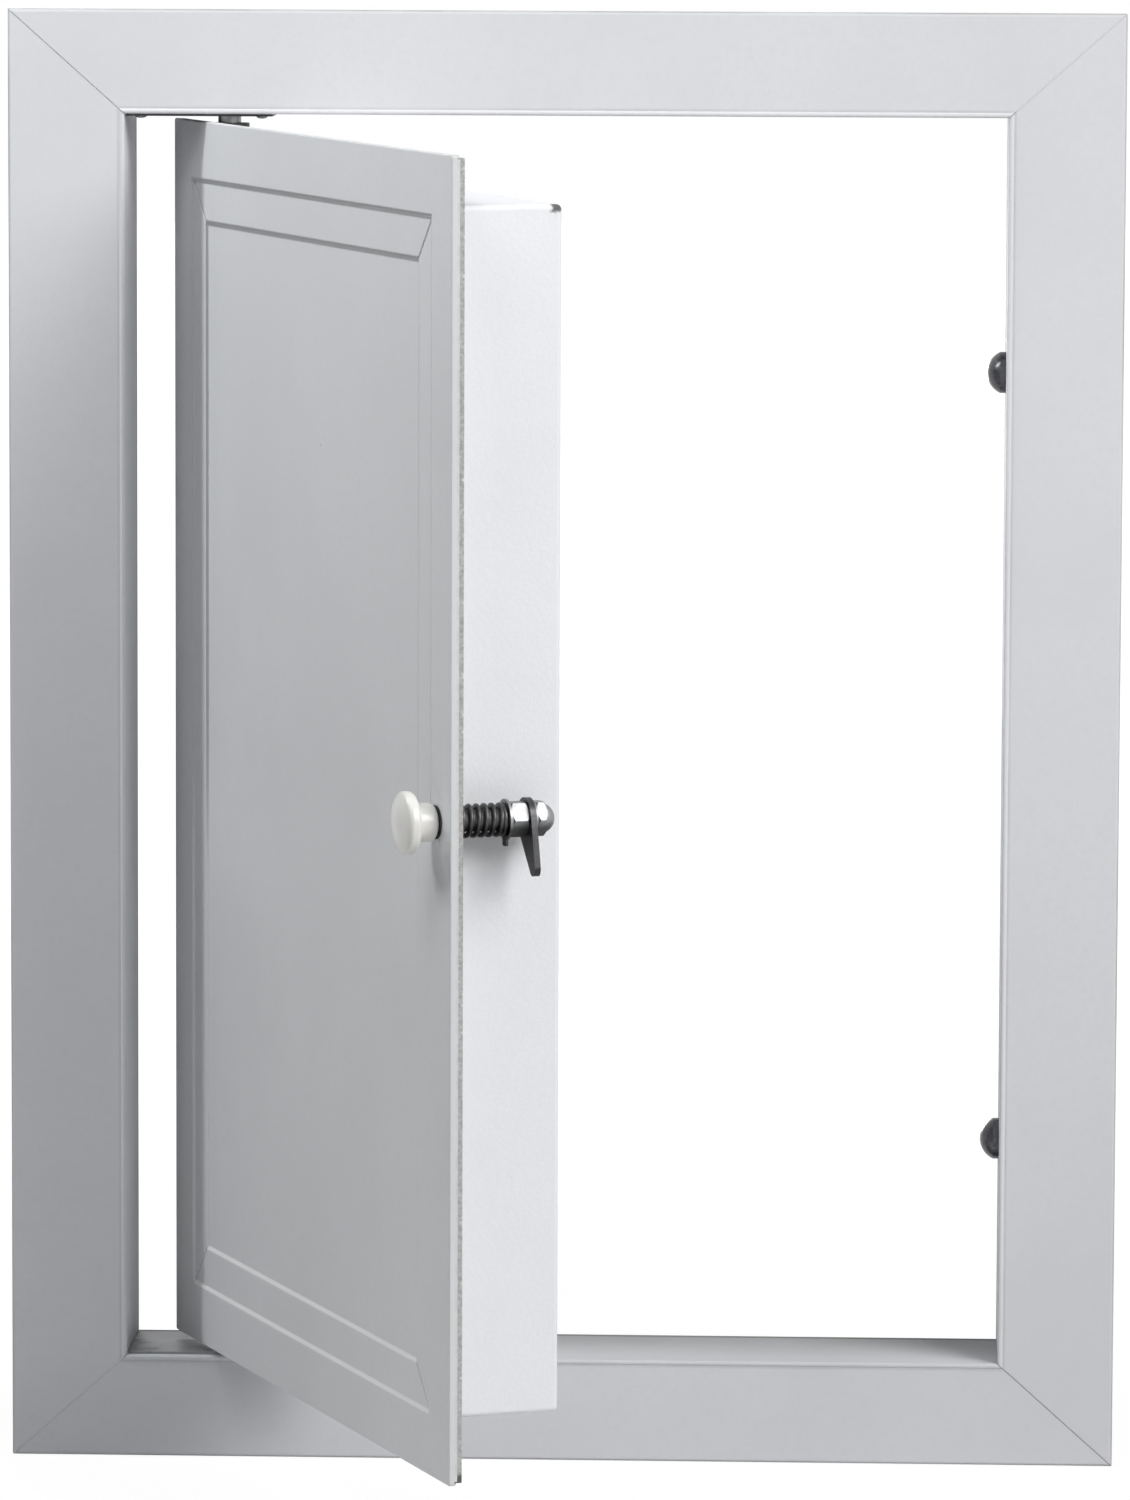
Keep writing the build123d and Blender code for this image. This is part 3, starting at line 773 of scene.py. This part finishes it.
class HATCH_OT_latch(bpy.types.Operator):
    """Finishes the latch and cuts the thread on its rod"""

    bl_idname = "hatch.latch"
    bl_label = "Finish Latch"

    def execute(self, context):
        colours = context.scene.hatch_colours
        sizes = context.scene.hatch_sizes
        give(moulded("knob_white", tuple(colours.knob), 0.26, 0.3), "latch_knob")
        # The last argument darkens the undersides as painted shade.
        zinc = plated("zinc_bright", tuple(colours.zinc), 0.4, latch_point, underside_shade=0.8)
        give(zinc, "spring_washer", "latch_rod", "latch_nut", "lever_washer", "cap_nut")
        # The last number darkens the undersides as painted shade.
        black = blackened("lever_dark", tuple(colours.lever), 0.3, (0.18, 0.18, 0.19), 0.5)
        give(black, "latch_lever", "knob_washer")
        start, stop = 0.0155, 0.0395
        radius, ridge = 0.0059, 0.00045
        place = latch_point + latch_in * start
        pitch, name = sizes.rod_pitch, "rod_thread"
        mesh = thread(name, place, latch_in, stop - start, pitch, radius, ridge, zinc)
        piece(name, mesh, "latch_spindle")
        return {"FINISHED"}


class HATCH_OT_spring(bpy.types.Operator):
    """Winds the latch spring"""

    bl_idname = "hatch.spring"
    bl_label = "Wind Spring"

    def execute(self, context):
        colours = context.scene.hatch_colours
        sizes = context.scene.hatch_sizes
        seat, end = 0.0095, 0.0397
        wire = sizes.spring_wire
        # The last number darkens the undersides as painted shade.
        steel = blackened("spring_steel", tuple(colours.spring), 0.3, (0.3, 0.3, 0.3), 0.9)
        values = {
            "Turns": sizes.spring_turns,
            "Radius": sizes.spring_radius,
            "Length": end - seat - 2 * wire,
            "Wire": wire,
            "Sides": 16,
            "Steps": 44,
            "Rings": True,
            "Finish": steel,
        }
        mesh = coil("spring_coil", values, latch_point + latch_in * (seat + wire), latch_in)
        spring = piece("spring_coil", mesh, "leaf")
        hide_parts("latch_spring")
        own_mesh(spring)
        return {"FINISHED"}


class HATCH_OT_fasteners(bpy.types.Operator):
    """Drives the pivot screws and sets the cleat rivets"""

    bl_idname = "hatch.fasteners"
    bl_label = "Fit Fasteners"

    def execute(self, context):
        colours = context.scene.hatch_colours
        sizes = context.scene.hatch_sizes
        zinc = plated("fastener_zinc", shade(tuple(colours.zinc), 0.8), 0.3)
        group = heads_group()
        screw = {"Radius": sizes.screw_radius, "Height": sizes.screw_height, "Recess": True}
        rivet = {"Radius": sizes.rivet_radius, "Height": sizes.rivet_height, "Recess": False}
        screw["Finish"] = rivet["Finish"] = zinc
        kinds = (
            ("plate_screws", screw, plate_screws, "lining"),
            ("arm_screws", screw, arm_screws, "leaf"),
            ("cleat_rivets", rivet, cleat_rivets, "lining"),
        )
        for name, head, places, body in kinds:
            piece(name, grown(name, group, head, *places()), body)
        return {"FINISHED"}


def plate_screws():
    """Two screws at the free end of each pivot strip and two more at the upper one's other end."""
    points, facings = [], []
    for node, up in (("pivot_plate_top", -1), ("pivot_plate_bottom", 1)):
        low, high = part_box(node)
        level = low.z if up < 0 else high.z
        middle = (low.y + high.y) / 2
        from_end, from_side = 0.007, 0.008
        spots = [(high.x - from_end, low.y + from_side), (high.x - from_end, high.y - from_side)]
        if up < 0:
            spots += [(low.x + 0.008, middle + side * 0.011) for side in (-1, 1)]
        points += [(x, y, level) for x, y in spots]
        facings += [(0, 0, up)] * len(spots)
    return points, facings


def arm_screws():
    """Two screws through the leg of each pivot arm."""
    points, facings = [], []
    screw_spread = 0.0225
    across = Vector((latch_in.y, -latch_in.x, 0))  # along the leaf
    leg_face = leaf_thickness + arm_thickness - pivot_setback
    face = Vector((pivot_point.x, pivot_point.y, 0)) + latch_in * leg_face
    for node, up in (("pivot_arm_top", -1), ("pivot_arm_bottom", 1)):
        low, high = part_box(node)
        level = (low.z + high.z) / 2 + up * arm_thickness
        for side in (-1, 1):
            spot = face + across * side * screw_spread
            points.append((spot.x, spot.y, level))
            facings.append(tuple(latch_in))
    return points, facings


def cleat_rivets():
    """Two rivets through each leg of each corner cleat."""
    points, facings = [], []
    for end in ("top", "bottom"):
        for side in ("hinge", "latch"):
            low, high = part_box(f"corner_cleat_{end}_{side}")
            sign = 1 if side == "latch" else -1
            up = 1 if end == "top" else -1
            outer_x = high.x if sign > 0 else low.x
            outer_z = high.z if up > 0 else low.z
            for depth in (0.3, 0.72):
                y = low.y + (high.y - low.y) * depth
                points.append((outer_x, y, (low.z + high.z) / 2))
                facings.append((sign, 0, 0))
                points.append(((low.x + high.x) / 2, y, outer_z))
                facings.append((0, 0, up))
    return points, facings


# Studio


def lamp(name, place, target, size, power, colour):
    """A soft rectangular lamp at this place, aimed at target."""
    light = bpy.data.lights.new(name, "AREA")
    light.shape = "RECTANGLE"
    light.size, light.size_y = size
    light.energy = power
    light.color = colour
    holder = bpy.data.objects.new(name, light)
    holder.location = place
    holder.rotation_euler = (Vector(target) - Vector(place)).to_track_quat("-Z", "Y").to_euler()
    bpy.context.scene.collection.objects.link(holder)


def seen_directly(tree):
    """1 where the camera, a gloss or clear material looks at the studio, else 0."""
    kinds = ("Is Camera Ray", "Is Glossy Ray", "Is Transmission Ray")
    camera, gloss, clear = [tree.add("ShaderNodeLightPath", output=kind) for kind in kinds]
    return camera.most(gloss).most(clear)


def lay_floor():
    """A pale floor that turns white away from the object, so that its edge doesn't show."""
    level = cad_box[0].z - 0.0005
    corners = [(-9, -3, level), (9, -3, level), (9, 14, level), (-9, 14, level)]
    mesh = bpy.data.meshes.new("floor")
    mesh.from_pydata(corners, [], [(0, 1, 2, 3)])
    floor = bpy.data.objects.new("floor", mesh)
    bpy.context.scene.collection.objects.link(floor)
    material = bpy.data.materials.new("floor_pale")
    material.use_nodes = True
    surface = Tree(material.node_tree)
    surface.graph.nodes.clear()
    paint = {"Base Color": (0.72, 0.72, 0.72, 1), "Roughness": 0.9}
    matt = surface.add("ShaderNodeBsdfPrincipled", None, paint)
    glow = surface.add("ShaderNodeEmission", None, {"Strength": 1.1})
    place = {0: surface.add("ShaderNodeTexCoord", output="Object")}
    away = surface.add("ShaderNodeVectorMath", {"operation": "LENGTH"}, place, output="Value")
    smooth = {"interpolation_type": "SMOOTHSTEP"}
    reach = {"Value": away, "From Min": 0.6, "From Max": 1.6}
    far = surface.add("ShaderNodeMapRange", smooth, reach)
    share = seen_directly(surface) * (0.84 + 0.16 * far)
    both = surface.add("ShaderNodeMixShader", None, {0: share, 1: matt, 2: glow})
    surface.add("ShaderNodeOutputMaterial", None, {"Surface": both})
    mesh.materials.append(material)


def surround():
    """Surroundings that look white but light the object only faintly."""
    world = bpy.data.worlds.new("studio")
    world.use_nodes = True
    bpy.context.scene.world = world
    sky = Tree(world.node_tree)
    sky.graph.nodes.clear()
    faint = {"Color": (0.93, 0.96, 1.0, 1), "Strength": 0.04}
    dim = sky.add("ShaderNodeBackground", None, faint)
    white = sky.add("ShaderNodeBackground", None, {"Color": (1, 1, 1, 1), "Strength": 1.0})
    both = sky.add("ShaderNodeMixShader", None, {0: seen_directly(sky), 1: dim, 2: white})
    sky.add("ShaderNodeOutputWorld", None, {"Surface": both})


def set_camera(lens):
    """The photograph's viewing place, turn and tilt."""
    camera = bpy.data.cameras.new("camera")
    camera.sensor_width = 36.0
    camera.lens = lens
    camera.clip_end = 60.0
    holder = bpy.data.objects.new("camera", camera)
    aside, tilt, roll = radians(2.231), radians(83.444), radians(0.217)
    turn = Matrix.Rotation(aside, 4, "Z") @ Matrix.Rotation(tilt, 4, "X")
    place = Matrix.Translation((0.2022, -5.1692, 0.9985))
    holder.matrix_world = place @ turn @ Matrix.Rotation(roll, 4, "Z")
    bpy.context.scene.collection.objects.link(holder)
    bpy.context.scene.camera = holder


class HATCH_OT_studio(bpy.types.Operator):
    """Sets up the floor, the soft lamps, the white surroundings and the camera"""

    bl_idname = "hatch.studio"
    bl_label = "Set Up Studio"

    def execute(self, context):
        lay_floor()
        surround()
        target = (0.0, 0.0, 0.42)
        white, warm, cool = (1.0, 1.0, 1.0), (1.0, 0.995, 0.985), (0.98, 0.99, 1.0)
        lamp("key", (2.6, -2.4, 2.8), target, (2.4, 2.4), 139.0, warm)
        lamp("side", (-1.2, -0.25, 1.6), (-0.1, -0.25, 0.6), (0.15, 0.6), 10.0, cool)
        lamp("top", (-0.45, -0.8, 1.6), (-0.2, -0.1, 0.7), (0.5, 0.5), 3.8, white)
        lamp("back", (-0.8, 2.8, 0.5), target, (0.8, 0.8), 17.0, white)
        set_camera(context.scene.hatch_sizes.lens)
        context.scene.view_settings.view_transform = "Standard"
        return {"FINISHED"}


class HATCH_PT_panel(bpy.types.Panel):
    bl_idname = "HATCH_PT_panel"
    bl_label = "Loft Hatch"
    bl_space_type = "VIEW_3D"
    bl_region_type = "UI"
    bl_category = "Loft Hatch"

    def draw(self, context):
        column = self.layout.column()
        for operator in operators:
            column.operator(operator.bl_idname)
        for group in (context.scene.hatch_sizes, context.scene.hatch_colours):
            for name in group.__annotations__:
                column.prop(group, name)


operators = (
    HATCH_OT_lining,
    HATCH_OT_pivots,
    HATCH_OT_studs,
    HATCH_OT_leaf,
    HATCH_OT_latch,
    HATCH_OT_spring,
    HATCH_OT_fasteners,
    HATCH_OT_studio,
)


def register():
    for kind in (HatchSizes, HatchColours, *operators, HATCH_PT_panel):
        bpy.utils.register_class(kind)
    bpy.types.Scene.hatch_sizes = bpy.props.PointerProperty(type=HatchSizes)
    bpy.types.Scene.hatch_colours = bpy.props.PointerProperty(type=HatchColours)


def unregister():
    del bpy.types.Scene.hatch_colours
    del bpy.types.Scene.hatch_sizes
    for kind in (HATCH_PT_panel, *reversed(operators), HatchColours, HatchSizes):
        bpy.utils.unregister_class(kind)


def main():
    register()
    bpy.ops.hatch.lining()
    bpy.ops.hatch.pivots()
    bpy.ops.hatch.studs()
    bpy.ops.hatch.leaf()
    bpy.ops.hatch.latch()
    bpy.ops.hatch.spring()
    bpy.ops.hatch.fasteners()
    bpy.ops.hatch.studio()


if __name__ == "__main__":
    main()
